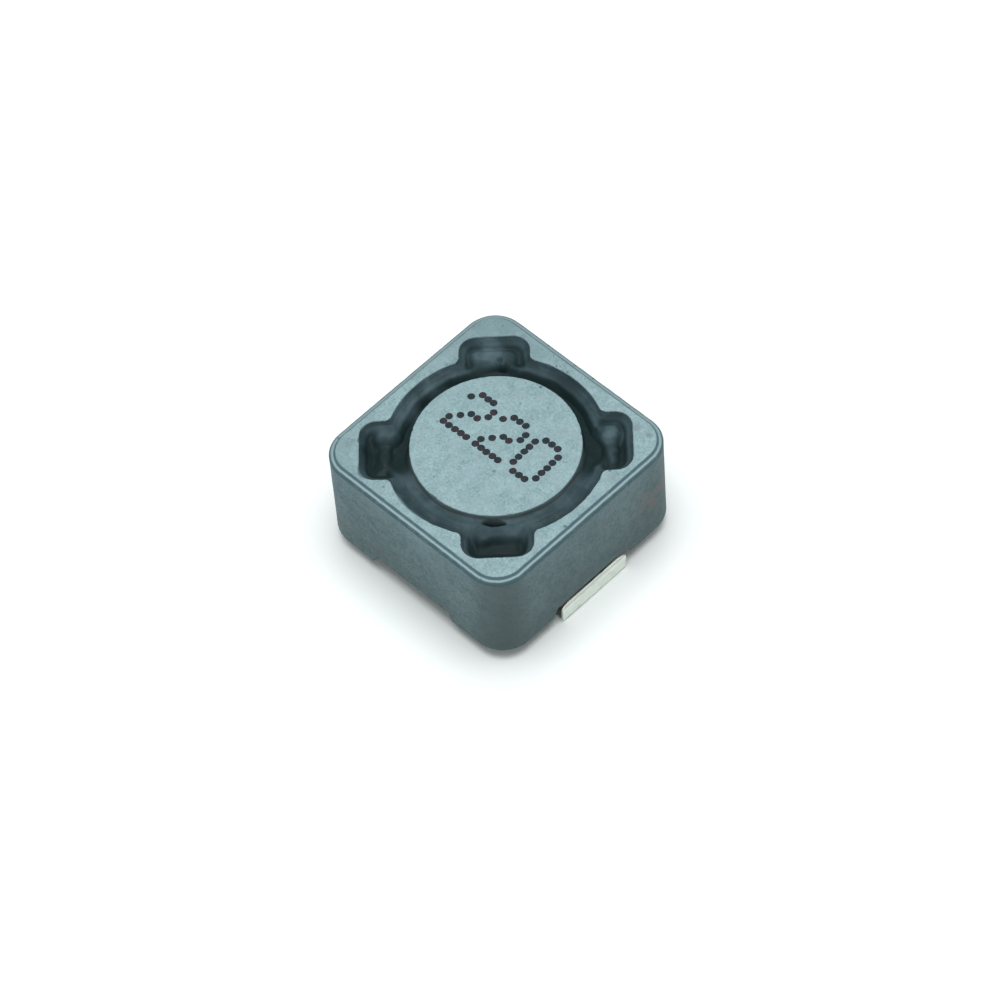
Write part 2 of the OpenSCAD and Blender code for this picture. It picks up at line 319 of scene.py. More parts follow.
def ferrite_finish(name, ground, fired, rim, stains):
    """Sintered ferrite: ground pale on the top face, darker and cloudier on the fired walls, with fine grain,
    dark pits and stains. Painted shade darkens the walls towards the foot, at the front corner and on the +X
    side, and painted light brightens their upper part. On the ring a painted highlight lies on the land of
    its pressed step and painted shade in two dark lines along it, with the land's highlight and the lower
    line's shade different on the near side."""
    f = Finish(name)
    dull, bright, cool, dark, stained = ground
    fired_dull, bright_fired_and_lit, rusty, blotched, pitted, dark_grain_and_shade = fired
    on_top = f.z.between(TOP - 0.05, TOP - 0.015)
    grain = f.noise(0.11, 3.0, 0.8)
    mottle = f.noise(0.5, 3.0, 0.6, (3, 1, 7))
    drift = f.noise(2.6, 2.0, 0.5, (9, 4, 2))
    tint = f.noise(0.8, 2.0, 0.5, (1, 8, 5))
    far_corner = (f.y - f.x).between(2.0, 11.5) * 0.75 * f.noise(1.1, 2.0, 0.5).between(0.1, 0.7)
    top = f.blend(dull, bright, grain.between(0.35, 0.65) * 0.65 + mottle.between(0.35, 0.65) * 0.35)
    top = f.blend(top, cool, tint.between(0.45, 0.7) * 0.5)
    top = f.blend(top, dark, far_corner)
    top = f.blend(top, dark, (f.x + f.y).between(-6.0, -10.5) * 0.3)
    wall = f.blend(fired_dull, bright_fired_and_lit,
                   mottle.between(0.32, 0.68) * 0.55 + drift.between(0.35, 0.65) * 0.45)
    rust = f.noise(0.9, 3.0, 0.65, (5, 5, 1)).between(0.52, 0.72) * f.z.between(3.6, 1.0)
    wall = f.blend(wall, rusty, rust * 0.75)
    wall = f.blend(wall, blotched, f.noise(0.35, 2.0, 0.6, (2, 2, 9)).between(0.6, 0.75) * 0.5)
    wall = f.blend(wall, dark_grain_and_shade, grain.between(0.5, 0.35) * 0.7)
    wall = f.blend(wall, dull, grain.between(0.52, 0.68) * 0.45)
    # Painted shade: walls darker towards the foot, at the front corner and on the +X side; painted light on
    # the walls' upper part
    wall = f.blend(wall, dark_grain_and_shade, f.z.between(TOP - 0.2, FOOT) * 0.45)
    wall = f.blend(wall, bright_fired_and_lit, f.z.between(4.2, TOP - 0.3) * 0.3)
    wall = f.blend(wall, dark_grain_and_shade, (f.x - f.y).between(9.6, 11.4) * 0.75)
    wall = f.blend(wall, dark_grain_and_shade, f.x.between(5.2, 5.8) * 0.28)
    if rim:
        smudge = f.noise(0.55, 3.0, 0.7, (3, 8, 8)).between(0.55, 0.72)
        top = f.blend(top, dark, smudge * 0.45)
        y, z, reach, share = WALL_STAIN
        away = ((f.y - y) * (f.y - y) + (f.z - z) * (f.z - z)) ** 0.5
        stain = away.between(reach, 0.2) * f.x.between(5.4, 5.9) * mottle.between(0.35, 0.6)
        wall = f.blend(wall, rusty, stain * share)
    for x, y, reach, share in stains:
        spread = f.away(x, y).between(reach, 0) * mottle.between(0.3, 0.6)
        top = f.blend(top, stained, spread * share)
    colour = f.blend(wall, top, on_top)
    if rim:
        # Painted light and shade on the pressed step: a painted highlight on the land, painted shade in a
        # dark line at the step and another along the wall's top edge, the near side's highlight and lower
        # line set apart from the far side's
        far_land_highlight, step_shade, lip_shade, near_land_highlight = rim
        inset = side_inset(f) + 0.05 * (f.noise(0.3, 2.0, 0.6, (6, 3, 3)) - 0.5)
        high = f.z.between(TOP - 0.5, TOP - 0.4)
        broken = 0.6 + 0.4 * f.noise(0.4, 3.0, 0.7, (5, 2, 6)).between(0.35, 0.55)
        land = inset.between(0.07, 0.11) * inset.between(0.23, 0.2) * f.z.between(TOP - 0.2, TOP - 0.17)
        step_shade_line = inset.between(0.2, 0.235) * inset.between(0.34, 0.31) * high
        lip_shade_line = f.z.between(TOP - 0.37, TOP - 0.29) * f.z.between(TOP - 0.13, TOP - 0.15)
        lip_shade_line = lip_shade_line * inset.between(0.13, 0.08)
        near = (f.x - f.y).between(-3, 3)
        colour = f.blend(colour, f.blend(far_land_highlight, near_land_highlight, near), land * 0.9)
        colour = f.blend(colour, step_shade, step_shade_line * broken * 0.95)
        colour = f.blend(colour, lip_shade, lip_shade_line * broken * (0.2 + 0.75 * near))
    pit_areas = f.noise(0.7, 1.0, 0.5, (7, 7, 7)).between(0.5, 0.6)
    speck_areas = f.noise(0.5, 1.0, 0.5, (2, 6, 4)).between(0.5, 0.62)
    pits = f.cells(0.62, (4, 2, 1)).between(0.17, 0.08) * pit_areas
    specks = f.cells(0.23, (8, 1, 3)).between(0.2, 0.08) * speck_areas
    holes = (pits * 0.75).at_least(specks * 0.45)
    colour = f.blend(colour, pitted, holes)
    bumps = f.relief(1 - holes, 0.02, f.relief(grain, 0.006))
    return f.finish(Base_Color=colour, Roughness=0.62 + 0.12 * grain - 0.08 * on_top,
                    Specular_IOR_Level=0.3, Normal=bumps)


# Painted light (pale highlights on lumps and slopes) and painted shade (dark troughs) on the gap epoxy:
# middle, reach and strength
EPOXY_PAINTED_LIGHT = ((-4.3, 3.9, 1.1, 0.9), (3.3, 4.3, 0.8, 0.7), (-5.1, 0.8, 1.0, 0.6), (-5.0, -1.2, 1.0, 0.6))
EPOXY_PAINTED_SHADE = ((-4.2, -3.95, 1.1, 1.0), (3.85, -3.9, 1.1, 1.0), (0.0, 5.0, 1.4, 0.6), (-3.2, -3.2, 0.9, 0.7))


def epoxy_finish(name, hollow_shade, lit, brown, pale):
    """Dark casting epoxy: painted shade makes it blue-green black in the hollows and painted light greyer
    where it stands high, with more painted light and shade at listed places; browner in patches and beside
    the drum, satin with glossier patches."""
    f = Finish(name)
    wave = f.noise(0.9, 3.0, 0.55, (2, 5, 1))
    fine = f.noise(0.16, 3.0, 0.6, (6, 1, 1))
    # Painted shade in the hollows, painted light where the surface stands high
    level = f.z.between(TOP - 0.7, TOP - 0.22) * (0.6 + 0.4 * f.z.between(TOP - 0.06, TOP - 0.2))
    colour = f.blend(hollow_shade, lit, level * (0.6 + 0.4 * wave.between(0.35, 0.65)))
    beside = f.away(0, 0).between(DRUM_R + 0.2, DRUM_R + 0.06)
    patch = f.noise(0.6, 2.0, 0.5, (9, 9, 2)).between(0.55, 0.7)
    # Painted highlights and painted shade at the listed places
    for shade, places in ((pale, EPOXY_PAINTED_LIGHT), (hollow_shade, EPOXY_PAINTED_SHADE)):
        for x, y, reach, share in places:
            streak = share * (0.5 + 0.5 * wave.between(0.35, 0.6))
            colour = f.blend(colour, shade, f.away(x, y).between(reach, 0.15 * reach) * streak)
    colour = f.blend(colour, brown, (beside * 0.4).at_least(patch * 0.12) * (0.3 + 0.7 * level))
    gloss = f.noise(1.3, 2.0, 0.5, (3, 3, 8)).between(0.4, 0.65)
    bumps = f.relief(fine, 0.005, f.relief(wave, 0.03))
    return f.finish(Base_Color=colour, Roughness=0.56 - 0.16 * gloss, Specular_IOR_Level=0.1, Normal=bumps)


def tin_finish(name, bright, dull, copper):
    """Matte tin plate: off-white with faint draw lines and duller patches, and bare copper showing a little
    in scattered spots."""
    f = Finish(name)
    lines = f.noise(0.12, 2.0, 0.5, (1, 2, 3), (1, 6, 1))
    patches = f.noise(0.7, 3.0, 0.6, (4, 4, 4))
    colour = f.blend(bright, dull, patches.between(0.4, 0.7) * 0.6 + lines.between(0.4, 0.7) * 0.3)
    colour = f.blend(colour, copper, f.noise(0.5, 2.0, 0.5, (8, 2, 2)).between(0.66, 0.76) * 0.35)
    bumps = f.relief(lines, 0.004, f.relief(patches, 0.012))
    return f.finish(Base_Color=colour, Metallic=0.85, Roughness=0.4 + 0.15 * patches, Normal=bumps)


def solder_finish(name):
    """Solder: pale grey metal with a fine frosted grain."""
    f = Finish(name)
    grain = f.noise(0.08, 3.0, 0.6)
    colour = f.blend((0.62, 0.63, 0.62), (0.42, 0.44, 0.44), grain.between(0.4, 0.7))
    return f.finish(Base_Color=colour, Metallic=0.9, Roughness=0.28 + 0.2 * grain,
                    Normal=f.relief(grain, 0.006))


def wire_finish(name):
    """Enamelled copper, and grey where the leads are tinned, over the pads."""
    f = Finish(name)
    shade = f.noise(0.7, 2.0, 0.5)
    copper = f.blend((0.42, 0.12, 0.045), (0.60, 0.22, 0.09), shade.between(0.3, 0.7))
    tinned = f.z.between(0.5 * (FOOT + STRIP_T) + 0.25, 0.5 * (FOOT + STRIP_T) + 0.2)
    colour = f.blend(copper, (0.6, 0.6, 0.58), tinned)
    return f.finish(Base_Color=colour, Metallic=0.8, Roughness=0.3, Coat_Weight=0.5 - 0.5 * tinned)


def ink_finish(name):
    """Ink-jet ink: matte dark grey with a maroon cast in places and a paler fine grain."""
    f = Finish(name)
    cast = f.noise(0.45, 2.0, 0.5)
    colour = f.blend((0.020, 0.030, 0.036), (0.040, 0.030, 0.038), cast.between(0.45, 0.65))
    grain = f.noise(0.05, 2.0, 0.6)
    colour = f.blend(colour, (0.085, 0.10, 0.11), grain.between(0.5, 0.75) * 0.5)
    return f.finish(Base_Color=colour, Specular_IOR_Level=0.08, Roughness=0.65, Normal=f.relief(grain, 0.004))


FERRITE_TOP = ((0.175, 0.285, 0.302), (0.310, 0.455, 0.480), (0.270, 0.370, 0.410), (0.135, 0.215, 0.235),
               (0.130, 0.150, 0.185))
# Purplish stains and specks on the top faces: place, reach and strength
RING_STAINS = ((4.15, 5.1, 0.35, 0.9), (4.9, 5.2, 0.3, 0.7), (5.35, 2.3, 0.5, 0.35), (-5.2, -4.6, 0.5, 0.4))
WALL_STAIN = (4.2, 3.5, 1.6, 0.7)  # rust on the +X wall: Y, Z, reach and strength
DRUM_STAINS = ((-0.05, -1.0, 0.16, 0.8), (1.0, -1.15, 0.18, 1.0))
# Fired wall colours: dull; bright, also painted light on the walls' upper part; rusty; blotched; pitted; and
# dark grain that is also painted shade
FERRITE_WALL = ((0.080, 0.150, 0.168), (0.162, 0.245, 0.265), (0.135, 0.118, 0.110),
                (0.064, 0.097, 0.112), (0.055, 0.100, 0.112), (0.055, 0.080, 0.080))
# Ring step colours, all painted light and shade: far side's land highlight, shade in the step's line, shade
# in the line along the wall's top edge, near side's land highlight
RIM_HIGHLIGHT_AND_SHADE = ((0.215, 0.300, 0.320), (0.080, 0.150, 0.178), (0.045, 0.100, 0.115), (0.285, 0.395, 0.420))
ring_finish = ferrite_finish("ring_ferrite", FERRITE_TOP, FERRITE_WALL, RIM_HIGHLIGHT_AND_SHADE, RING_STAINS)
drum_finish = ferrite_finish("drum_ferrite", FERRITE_TOP, FERRITE_WALL, None, DRUM_STAINS)
# Epoxy colours: painted shade for the hollows, painted light where it stands high, brown, and a paler painted
# highlight
dark_epoxy = epoxy_finish("dark_epoxy", (0.009, 0.021, 0.023), (0.056, 0.096, 0.110), (0.058, 0.064, 0.066),
                          (0.090, 0.145, 0.165))
tinned_strip = tin_finish("tinned_strip", (0.78, 0.84, 0.77), (0.62, 0.67, 0.62), (0.62, 0.42, 0.30))
solder_metal = solder_finish("solder")
copper_wire = wire_finish("copper_wire")
print_ink = ink_finish("print_ink")

# ---- the shield ring ----

ROOT2 = math.sqrt(2)
mouth_y = POCKET_HALF + MOUTH_R
mouth_x = math.sqrt((BORE_R + MOUTH_R) ** 2 - mouth_y ** 2)
mouth_angle = math.pi / 4 - math.atan2(mouth_y, mouth_x)


def from_diagonal(u, t):
    """Point u out along the 45 degree diagonal and t to its left."""
    return np.array([(u - t) / ROOT2, (u + t) / ROOT2])


def arc(centre, radius, start, end, count):
    """Points at equal angles round a centre, and the unit directions away from it."""
    a = np.linspace(start, end, count, endpoint=False)
    out = np.stack([np.cos(a), np.sin(a)], -1)
    return centre + radius * out, out


def straight(start, end, out, count):
    """Points at equal distances from start to end, all facing out."""
    t = np.linspace(0, 1, count, endpoint=False)[:, None]
    return mix(start, end, t), np.tile(out, (count, 1))


def cavity_eighth():
    """The cavity's edge from the middle of a side to the next diagonal, with the direction into the
    ring's material at each point: bore arc, round mouth edge, pocket wall, pocket corner, pocket end."""
    c = POCKET_REACH - POCKET_R
    t = POCKET_HALF - POCKET_R
    away, along = np.array([1, -1]) / ROOT2, np.array([1, 1]) / ROOT2
    mouth, mouth_out = arc(from_diagonal(mouth_x, -mouth_y), MOUTH_R,
                           math.pi + mouth_angle, 0.75 * math.pi, 10)
    parts = [arc(np.zeros(2), BORE_R, 0, mouth_angle, 46), (mouth, -mouth_out),
             straight(from_diagonal(mouth_x, -POCKET_HALF), from_diagonal(c, -POCKET_HALF), away, 11),
             arc(from_diagonal(c, -t), POCKET_R, -math.pi / 4, math.pi / 4, 16),
             straight(from_diagonal(POCKET_REACH, -t), from_diagonal(POCKET_REACH, 0), along, 25)]
    end = from_diagonal(POCKET_REACH, 0)
    return np.vstack([*(p[0] for p in parts), end]), np.vstack([*(p[1] for p in parts), along])


def outside_eighth(inner):
    """Points on the ring's outside that match the cavity's points: level with them across the recess,
    then spread evenly along the side and round the corner. Gives points, directions and distances."""
    run = np.concatenate([[0], np.cumsum(np.linalg.norm(np.diff(inner, axis=0), axis=1))])
    flat = HALF - CORNER_R
    marks = [RECESS_HALF, RECESS_HALF + RECESS_SPLAY]
    at = [int(np.searchsorted(inner[:, 1], m)) for m in marks]
    s = np.interp(run, [0, run[at[0]], run[at[1]], run[-1]], [0, *marks, flat + CORNER_R * math.pi / 4])
    a = np.clip((s - flat) / CORNER_R, 0, None)
    out = np.stack([np.cos(a), np.sin(a)], -1)
    base = np.stack([np.full_like(s, flat), np.minimum(s, flat)], -1)
    return base + CORNER_R * out, out, s


def all_round(eighth):
    """The eighth mirrored about its side's middle, and that quarter turned to all four sides."""
    mirrored = eighth[::-1] * [1, -1]
    quarter = np.vstack([mirrored[:-1], eighth[:-1]])
    turns = [np.array([[c, s], [-s, c]]) for c, s in ((1, 0), (0, 1), (-1, 0), (0, -1))]
    return np.vstack([quarter @ m for m in turns])


inner_eighth, inner_out_eighth = cavity_eighth()
outer_eighth, outer_out_eighth, side_run = outside_eighth(inner_eighth)
inner, inner_out = all_round(inner_eighth), all_round(inner_out_eighth)
outer, outer_out = all_round(outer_eighth), all_round(outer_out_eighth)
run_quarter = np.concatenate([side_run[::-1][:-1], side_run[:-1]])
run = np.tile(run_quarter, 4)
under = mix(RECESS_Z, FOOT, np.clip((run - RECESS_HALF) / RECESS_SPLAY, 0, 1))


def bearing(x, y, degrees):
    """Angle of (x, y) round the axis, in degrees from a given direction, between -180 and 180."""
    return (np.degrees(np.arctan2(y, x)) - degrees + 180) % 360 - 180


def chips(points):
    """How far the cavity's top edge is broken back at each point: fine raggedness everywhere, larger
    flakes where a slow noise is high, a wide break on the -Y side and one at a pocket's corner."""
    p = with_z(points, 0.0)
    fine = 0.5 + 0.5 * rough(p, 0.14, 2, 11)
    flake = step(cloud(p, 0.45, 5), 0.3, 0.95)
    wide = np.exp(-(bearing(points[:, 0], points[:, 1], -97) / 15) ** 2)
    corner = np.exp(-(np.hypot(points[:, 0] + 3.45, points[:, 1] + 5.2) / 0.35) ** 2)
    return 0.02 * fine + 0.07 * flake * (0.6 + 0.4 * cloud(p, 0.1, 8)) + 0.13 * wide + 0.16 * corner


edge_chip = chips(inner)


def ring_rows():
    """Rows of the ring's section, from the foot's outer edge up the wall, over the pressed step and the
    top face, down the cavity's wall and back under the foot."""
    rows = []
    for inset, lift in ((0.12, 0.0), (0.06, 0.02), (0.02, 0.06), (0.0, 0.13)):
        rows.append(with_z(outer - inset * outer_out, under + lift))
    for t in np.linspace(0, 1, 14)[1:]:
        rows.append(with_z(outer, mix(under + 0.13, TOP - 0.23, t)))
    wobble = -0.012 * np.abs(cloud(with_z(outer, 0.0), 0.5, 21))[:, None] * outer_out
    for inset, drop in ((0.005, 0.205), (0.022, 0.18), (0.055, 0.158), (0.12, 0.142), (0.2, 0.132),
                        (0.24, 0.125), (0.265, 0.1), (0.285, 0.055), (0.305, 0.018), (0.34, 0.0)):
        rows.append(with_z(outer - inset * outer_out + wobble, TOP - drop))
    rim = outer - 0.38 * outer_out
    edge = inner + (0.06 + edge_chip[:, None]) * inner_out
    for t in np.linspace(0, 1, 16):
        rows.append(with_z(mix(rim, edge, t), TOP))
    for offset, share, drop in ((0.045, 1.0, 0.01), (0.03, 0.9, 0.03), (0.012, 0.6, 0.08)):
        rows.append(with_z(inner + (offset + share * edge_chip[:, None]) * inner_out, TOP - drop))
    for t in np.linspace(0, 1, 12) ** 1.5:
        rows.append(with_z(inner, mix(TOP - 0.16, under + 0.06, t)))
    for offset, lift in ((0.015, 0.015), (0.06, 0.0)):
        rows.append(with_z(inner + offset * inner_out, under + lift))
    for t in np.linspace(0, 1, 8)[1:-1]:
        rows.append(with_z(mix(inner + 0.06 * inner_out, outer - 0.12 * outer_out, t), under))
    return np.stack(rows)


def shield_ring():
    """The section's rows, with the outer wall from 1 to 6 mm up moved inwards by 0.012 mm times the
    size of a slow noise."""
    rows = ring_rows()
    low = 0.012 * cloud(rows, 1.7, 31)[..., None]
    side = np.stack([outer_out[:, 0], outer_out[:, 1], 0 * outer_out[:, 0]], -1)
    on_wall = (np.abs(rows[..., 2] - 3.5) < 2.5)[..., None] & (np.arange(len(rows)) < 18)[:, None, None]
    rows = rows - np.where(on_wall, np.abs(low) * side, 0)
    n, m = rows.shape[:2]
    piece("shield_ring_body", rows, [grid_faces(n, m, True, True)], ring_finish, "ring_ferrite",
          ["shield_ring"])


shield_ring()

# ---- the drum ----


def lathe(profile, angles):
    """Points of a profile of (radius, height) turned to each angle. The first and last profile points lie
    on the axis and become single points. Gives the grid, those two points and the faces."""
    r, z = np.array(profile[1:-1]).T
    grid = np.stack([r[:, None] * np.cos(angles), r[:, None] * np.sin(angles),
                     np.broadcast_to(z[:, None], (len(r), len(angles)))], -1)
    n, m = grid.shape[:2]
    poles = np.array([[0, 0, profile[0][1]], [0, 0, profile[-1][1]]])
    return grid, poles, capped(n, m)


def drum_core():
    """Flange, post and flange as one turned shape. The top flange's edge is broken in small flakes, and
    the lead notch is a step down in the bottom flange."""
    z0, z1 = drum_low[2], drum_low[2] + FLANGE_T
    z2 = TOP - FLANGE_T
    r, b = BASE_FLANGE_R, 0.06
    profile = [(0, z0), (1.5, z0), (3, z0), (r - b, z0), (r - 0.3 * b, z0 + 0.3 * b), (r, z0 + b)]
    profile += [(r, z1 - b), (r - 0.3 * b, z1 - 0.3 * b), (r - b, z1)]
    profile += [(x, z1) for x in np.linspace(r - 0.2, POST_R + 0.1, 30)]
    profile += [(POST_R, z1 + 0.08), (POST_R, z2 - 0.08), (POST_R + 0.1, z2)]
    profile += [(DRUM_R - b, z2), (DRUM_R, z2 + b)]
    profile += [(DRUM_R, z) for z in np.linspace(z2 + 0.2, TOP - 0.3, 5)]
    profile += [(DRUM_R, TOP - 0.12), (DRUM_R, TOP - 0.07), (DRUM_R - 0.008, TOP - 0.035),
                (DRUM_R - 0.025, TOP - 0.012), (DRUM_R - 0.055, TOP - 0.002), (DRUM_R - 0.1, TOP)]
    profile += [(x, TOP) for x in np.linspace(DRUM_R - 0.25, 0.25, 12)]
    profile += [(0, TOP)]
    angles = np.arange(720) * math.pi / 360
    grid, poles, faces = lathe(profile, angles)
    radius = np.hypot(grid[..., 0], grid[..., 1])
    rim = step(grid[..., 2], TOP - 0.14, TOP - 0.03) * step(radius, DRUM_R - 0.3, DRUM_R - 0.06)
    flat = grid * [1, 1, 0]
    broken = 0.012 * rough(flat, 0.16, 2, 3) + 0.05 * step(cloud(flat, 0.4, 14), 0.5, 1.0)
    grid[..., :2] *= (1 - (rim * np.abs(broken) / np.maximum(radius, 0.1)))[..., None]
    along = (grid[..., 0] - grid[..., 1]) / ROOT2
    across = (grid[..., 0] + grid[..., 1]) / ROOT2
    notch = (along > POST_R) & (across > -WIRE_R - 0.08) & (across < 1) & (grid[..., 2] < z1 + 0.01)
    grid[..., 2] = np.where(notch, np.minimum(grid[..., 2], z1 - 2 * WIRE_R - 0.12), grid[..., 2])
    piece("drum_body", np.vstack([grid.reshape(-1, 3), poles]), faces, drum_finish, "drum_ferrite",
          ["drum_core"])


drum_core()

# ---- the epoxy ----

POCKETS = [math.radians(a) for a in (45, 135, 225, 315)]
# Depth of the surface at shares of the way from the drum to the wall: where it has sunk against the
# drum, and where it has sunk against the ring
SUNK_BY_DRUM = ((0, 0.5), (0.12, 0.74), (0.38, 0.76), (0.52, 0.6), (0.62, 0.42), (0.8, 0.32), (1, 0.14))
SUNK_BY_RING = ((0, 0.1), (0.06, 0.22), (0.2, 0.3), (0.42, 0.29), (0.54, 0.36), (0.72, 0.44),
                (0.88, 0.36), (1, 0.12))
# The same in a pocket, by distance from its wall in millimetres
POCKET_HOLLOW = ((0, 0.12), (0.1, 0.24), (0.22, 0.36), (0.36, 0.62), (0.6, 0.74), (0.9, 0.66), (1.65, 0.6))
# Lumps in the pockets, in the order of POCKETS: middle (out along the pocket, to its left), half width
# in the same two directions, and depth of the top
LUMPS = (((5.35, 0.75, 0.45, 0.55, 0.22), (5.35, -0.30, 0.32, 0.75, 0.40)),
         ((5.45, 0.05, 0.50, 1.05, 0.22), (5.45, 0.85, 0.28, 0.28, 0.16), (4.95, -0.35, 0.15, 0.14, 0.22)),
         ((5.18, -1.20, 0.55, 0.55, 0.24), (5.20, -0.05, 0.25, 0.70, 0.55)),
         ((4.62, 0.10, 0.52, 1.20, 0.28), (5.05, -0.65, 0.25, 0.30, 0.24)))


# A lens-shaped slot beside the drum in the last pocket, and a round pit in the second
SLOT_U, SLOT_T, SLOT_DEPTH = 4.27, -0.15, 0.45
PIT_U, PIT_T, PIT_R, PIT_DEPTH = 5.2, -0.25, 0.11, 0.22


def pocket_frame(x, y, angle):
    """Distance out along a pocket's diagonal, and distance to the left of it."""
    return x * math.cos(angle) + y * math.sin(angle), y * math.cos(angle) - x * math.sin(angle)


def wall_distance(x, y):
    """Distance inside the cavity's wall: the larger of the distances inside the bore and inside each
    pocket, which is a rectangle with round corners. Negative outside."""
    far = BORE_R - np.hypot(x, y)
    for angle in POCKETS:
        u, t = pocket_frame(x, y, angle)
        a, b = np.abs(t) - (POCKET_HALF - POCKET_R), u - (POCKET_REACH - POCKET_R)
        outside = np.hypot(np.maximum(a, 0), np.maximum(b, 0)) + np.minimum(np.maximum(a, b), 0) - POCKET_R
        far = np.maximum(far, np.where(u > 0, -outside, -9))
    return far


def epoxy_depth(x, y, lip):
    """Depth of the epoxy's surface below the top face. Its profile from the drum to the wall blends from
    the one table on the far side to the other on the near side; lumps stand in the pockets, each falling
    off as exp(-(a^3 + b^3)); the surface rises to the edge over lip, and slow noise makes it uneven."""
    p = with_z(np.stack([x, y], -1), 0.0)
    near = np.maximum(np.hypot(x, y) - DRUM_R, 0)
    far = np.maximum(wall_distance(x, y), 0)
    share = near / np.maximum(near + far, 0.01) + 0.05 * cloud(p, 0.7, 41)
    side = step(np.cos(np.radians(bearing(x, y, 135))) + 0.15 * cloud(p, 1.5, 43), -0.6, -0.05)
    depth = mix(np.interp(share, *zip(*SUNK_BY_RING)), np.interp(share, *zip(*SUNK_BY_DRUM)), side)
    hollow = np.interp(far + 0.05 * cloud(p, 0.5, 45), *zip(*POCKET_HOLLOW))
    depth = mix(depth, hollow, step(near, 0.75, 1.25) * step(far, 0, 0.1))
    for angle, lumps in zip(POCKETS, LUMPS):
        u, t = pocket_frame(x, y, angle)
        for u0, t0, half_u, half_t, top in lumps:
            a = np.abs(u - u0 + 0.08 * cloud(p, 0.35, 51)) / half_u
            b = np.abs(t - t0 + 0.08 * cloud(p, 0.35, 52)) / half_t
            rise = np.where(u > 0, np.exp(-a ** 3 - b ** 3), 0)
            depth = mix(depth, np.minimum(depth, top + 0.04 * cloud(p, 0.5, 53)), rise)
    depth = depth + 0.03 * cloud(p, 0.55, 61) + 0.01 * rough(p, 0.2, 2, 63)
    u, t = pocket_frame(x, y, POCKETS[3])
    along = np.abs(t - SLOT_T)
    lens = 0.05 + 0.08 * step(0.56 - along, 0, 0.5)
    slot = np.exp(-((u - SLOT_U - 0.10 * t - 0.06 * t * t) / lens) ** 2) * step(0.6 - along, 0, 0.2)
    depth = depth + SLOT_DEPTH * slot
    u, t = pocket_frame(x, y, POCKETS[1])
    depth = depth + PIT_DEPTH * np.exp(-(np.hypot(u - PIT_U, t - PIT_T) / PIT_R) ** 2)
    depth = np.clip(depth, 0.03, 1.15)
    return 0.02 + (depth - 0.02) * (1 - np.exp(-np.maximum(lip, 0) / 0.07))


def radial_rows(edge, r0, count):
    """Rows of points from a circle of radius r0 out to the edge along straight lines from the axis,
    closer together at both ends."""
    reach = np.hypot(edge[:, 0], edge[:, 1])
    way = edge / reach[:, None]
    t = np.linspace(0, 1, count)
    t = 0.6 * t + 0.4 * t * t * (3 - 2 * t)
    return way * mix(r0, reach, t[:, None])[..., None]


def gap_epoxy():
    """The surface over the gap and pockets, a skirt down the ring's wall, a level bottom and the drum's
    wall, closed all round."""
    reach = inner + (0.042 + edge_chip[:, None]) * inner_out
    top = radial_rows(reach, DRUM_R - 0.02, 60)
    lip = wall_distance(top[..., 0], top[..., 1]) + 0.042 + edge_chip
    height = TOP - epoxy_depth(top[..., 0], top[..., 1], lip)
    rows = list(with_z(top, height))
    top[-1] = inner + 0.02 * inner_out
    bottom = epoxy_low[2] + 0.01
    for t in (0.35, 0.7, 1.0):
        rows.append(with_z(top[-1], mix(TOP - 0.2, bottom, t)))
    for t in (0.25, 0.5, 0.75, 1.0):
        rows.append(with_z(mix(top[-1], top[0], t), bottom))
    for t in (0.35, 0.7):
        rows.append(with_z(top[0], mix(bottom, height[0], t)))
    rows = np.stack(rows)
    n, m = rows.shape[:2]
    piece("gap_epoxy_fill", rows, [grid_faces(n, m, True, True)], dark_epoxy, "dark_epoxy", ["gap_epoxy"])


def plug_columns(angle):
    """The points of the cavity's edge that lie in one pocket, in order round it."""
    u, t = pocket_frame(inner[:, 0], inner[:, 1], angle)
    inside = (u > 4.6) & (np.abs(t) < POCKET_HALF + 0.12)
    columns = inner[inside]
    order = np.argsort(np.arctan2(*pocket_frame(columns[:, 0], columns[:, 1], angle)[::-1]))
    return columns[order]


def base_epoxy():
    """One plug in each pocket's foot: domed below, flat above, and closed by a flat face at both ends."""
    points, faces, start = [], [], 0
    for angle in POCKETS:
        edge = plug_columns(angle)
        plan = radial_rows(edge, BASE_FLANGE_R - 0.01, 16)
        t = np.linspace(-1, 1, 16)[:, None]
        sag = 0.07 * (1 - t * t) + 0.02 * cloud(with_z(plan, 0.0), 0.5, 71)
        low = with_z(plan, plug_low[2] + 0.08 - sag)
        high = with_z(plan[::-1], plug_high[2] - 0.005)
        rows = np.concatenate([low, high])
        n, m = rows.shape[:2]
        points.append(rows.reshape(-1, 3))
        faces.append(grid_faces(n, m, True, False, start))
        for column in (0, m - 1):
            loop = np.arange(n) * m + column + start
            back, half = loop[::-1], n // 2
            strip = np.stack([loop[:half - 1], loop[1:half], back[1:half], back[:half - 1]], -1)
            faces.append(strip[:, ::-1] if column == 0 else strip)
        start += n * m
    piece("base_epoxy_plugs", np.vstack(points), faces, dark_epoxy, "dark_epoxy", ["base_epoxy"])


gap_epoxy()
base_epoxy()

# ---- the winding ----

LAYERS = 4
TURNS = 19
FIRST_R = POST_R + WIRE_R + 0.06
LAYER_STEP = 2 * WIRE_R + 0.02
LAST_R = FIRST_R + (LAYERS - 1) * LAYER_STEP
COIL_LOW = drum_low[2] + FLANGE_T + WIRE_R + 0.02
COIL_HIGH = TOP - FLANGE_T - WIRE_R - 0.05
POCKET_ANGLE = -math.pi / 4
LEAD_R = 5.35
LEAD_BEND = 0.4
ENTRY_BEND = 0.5
NOTCH_LEAD_Z = COIL_LOW - 2 * WIRE_R - 0.06
PAD_LEAD_Z = STRIP_T + 0.02 + WIRE_R
PAD_LEAD_X = HALF - 1.05
PAD_LEAD_TURN = -1.9
PAD_LEAD_END = 0.8


